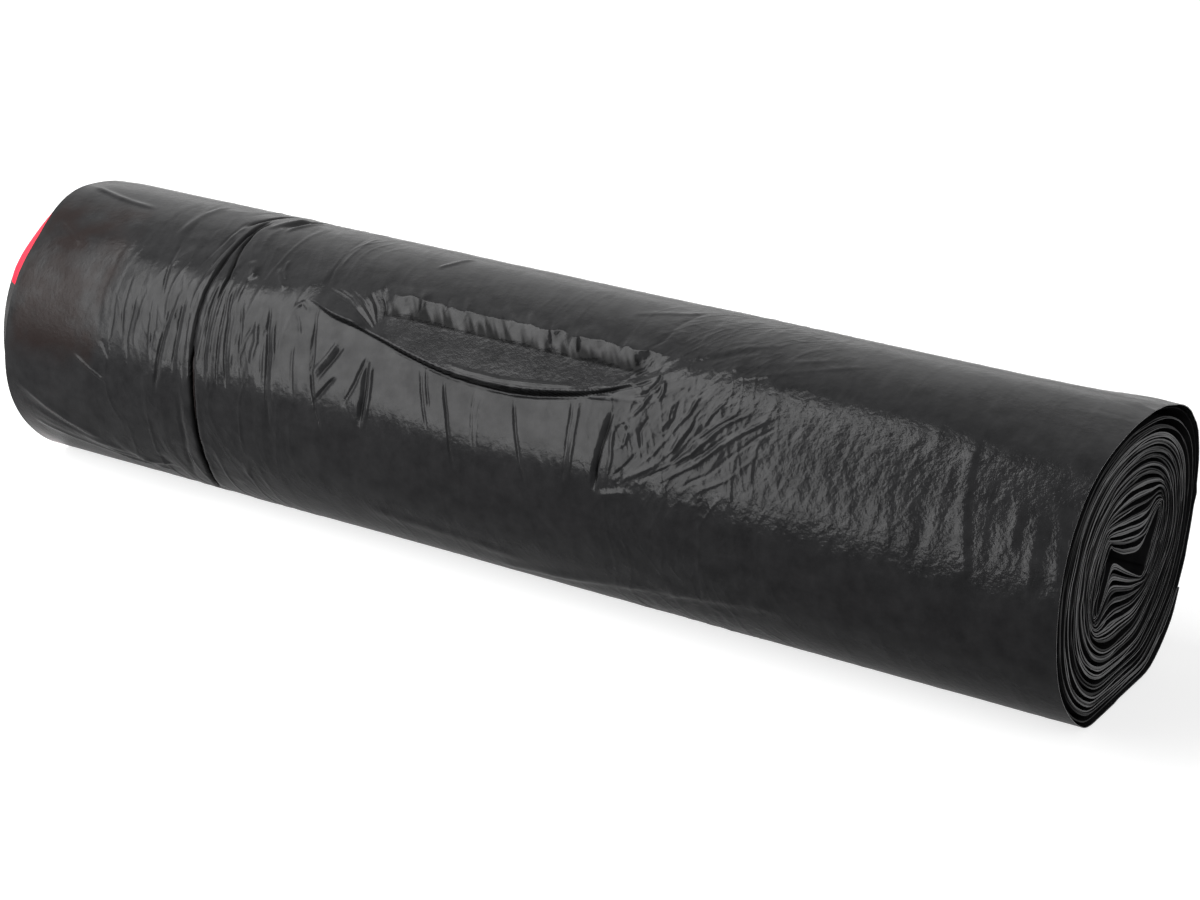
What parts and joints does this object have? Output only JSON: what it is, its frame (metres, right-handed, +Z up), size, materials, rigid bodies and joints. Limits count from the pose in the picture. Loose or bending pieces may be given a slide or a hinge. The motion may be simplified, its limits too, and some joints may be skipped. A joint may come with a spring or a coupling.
{
  "type": "roll of drawstring bin bags",
  "caption": "Soft coreless roll of folded plastic bin bags lying on its side, wound in turns round a collapsed pleated middle, with a drawtape in the hem at one end.",
  "frame": {"origin": "on the floor under the middle of the roll, at the bottom centre of its bounding box", "axes": "+X along the roll towards the open end with the pleated middle, +Y to the back, +Z up"},
  "size_m": [0.31, 0.0776, 0.0722],
  "materials": {
    "black_film": "thin blown polyethylene film, glossy and finely wrinkled",
    "red_tape": "smooth polyethylene tape, slightly translucent"
  },
  "bodies": {
    "root": {"film_roll": "black_film", "drawtape": "red_tape"}
  },
  "joints": []
}
